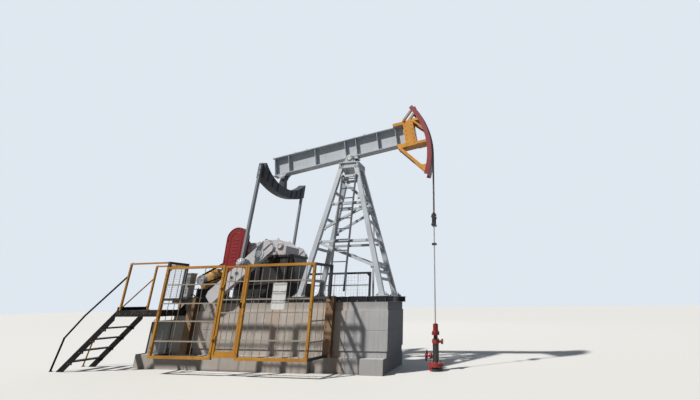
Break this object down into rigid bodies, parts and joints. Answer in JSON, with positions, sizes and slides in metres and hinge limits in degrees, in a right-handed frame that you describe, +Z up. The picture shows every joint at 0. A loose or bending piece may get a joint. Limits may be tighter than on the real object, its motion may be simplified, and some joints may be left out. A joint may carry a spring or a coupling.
{
  "type": "beam pumping unit",
  "caption": "Beam pumping unit with braced tower, curved head and cranks on a raised concrete foundation, with guard fence, stair, rope hanger and wellhead",
  "frame": {"origin": "on the ground, straight below the saddle pivot and midway between the two sides", "axes": "+X along the beam towards the well, +Y away from the side with the stair, +Z up"},
  "size_m": [9.8506, 3.094, 7.3077],
  "materials": {
    "concrete": "rough cast concrete, grey beige, with rust and rain streaks",
    "pale_paint": "pale grey-white paint with rust runs, semi matt",
    "grey_paint": "grey machinery paint, worn, semi matt",
    "dark_paint": "dark grey paint, oily and rusty, semi matt",
    "black_paint": "black paint, scuffed, semi matt",
    "yellow_paint": "yellow-orange safety paint with chipped, rusty edges",
    "red_paint": "dark brick-red paint, faded, semi matt",
    "brown_paint": "yellow-brown paint, dusty, semi matt",
    "rusty_steel": "rusted structural steel, rough",
    "wire_rope": "greased wire rope",
    "bare_steel": "bare turned steel, lightly oiled",
    "white_paint": "white enamelled plate, plain"
  },
  "bodies": {
    "frame": {"base_slabs": "concrete", "foundation": "concrete", "rear_block": "grey_paint", "skid_rails": "dark_paint", "skid_cross_beams": "dark_paint", "tower_legs": "pale_paint", "tower_side_bars": "pale_paint", "tower_cross_bars": "pale_paint", "tower_head": "pale_paint", "ladder": "pale_paint", "saddle_bearings": "pale_paint", "gearbox_stand": "dark_paint", "gearbox": "grey_paint", "belt_guard": "red_paint", "motor_stand": "dark_paint", "motor": "brown_paint", "control_box": "grey_paint", "guard_columns": "rusty_steel", "fence_front": "yellow_paint", "fence_sides": "yellow_paint", "fence_back": "dark_paint", "sign_plates": "white_paint", "platform_deck": "black_paint", "platform_rails": "yellow_paint", "stair_stringers": "black_paint", "stair_treads": "black_paint", "stair_handrail": "black_paint", "wellhead": "dark_paint", "stuffing_box": "red_paint"},
    "beam": {"walking_beam": "pale_paint", "head_frame": "yellow_paint", "head_arc": "red_paint", "saddle_shaft": "bare_steel", "tail_bracket": "pale_paint", "wrapped_rope": "wire_rope"},
    "pitman": {"equalizer": "dark_paint", "equalizer_hanger": "pale_paint", "pitman_arms": "pale_paint"},
    "crank": {"cranks": "pale_paint", "crank_shaft": "bare_steel"},
    "rod": {"hanging_rope": "wire_rope", "carrier_bar": "grey_paint", "polished_rod": "bare_steel"},
    "gate": {"gate_leaf": "yellow_paint"},
    "wheel": {"handwheel": "red_paint"}
  },
  "joints": [
    {"name": "beam_rock", "type": "hinge", "parent": "frame", "child": "beam", "pos_m": [0, 0, 5.7], "axis": [0, -1, 0], "range_deg": [-19, 4]},
    {"name": "pitman_swing", "type": "hinge", "parent": "beam", "child": "pitman", "pos_m": [-2.28951, 0, 5.32508], "axis": [0, -1, 0], "range_deg": [-5, 20]},
    {"name": "crank_turn", "type": "hinge", "parent": "frame", "child": "crank", "pos_m": [-2.13, 0, 2.85], "axis": [0, 1, 0], "continuous": true},
    {"name": "rod_stroke", "type": "slide", "parent": "frame", "child": "rod", "axis": [0, 0, 1], "range_m": [-0.83, 0.175]},
    {"name": "gate_swing", "type": "hinge", "parent": "frame", "child": "gate", "pos_m": [-2.513, -1.548, 0.8], "axis": [0, 0, -1], "range_deg": [0, 100]},
    {"name": "handwheel_turn", "type": "hinge", "parent": "frame", "child": "wheel", "pos_m": [2.265, 0, 0.33], "axis": [1, 0, 0], "continuous": true}
  ],
  "couplings": [
    {"joint": "pitman_swing", "follows": "beam_rock", "ratio": -1},
    {"joint": "rod_stroke", "follows": "beam_rock", "m_per_rad": 2.5}
  ]
}
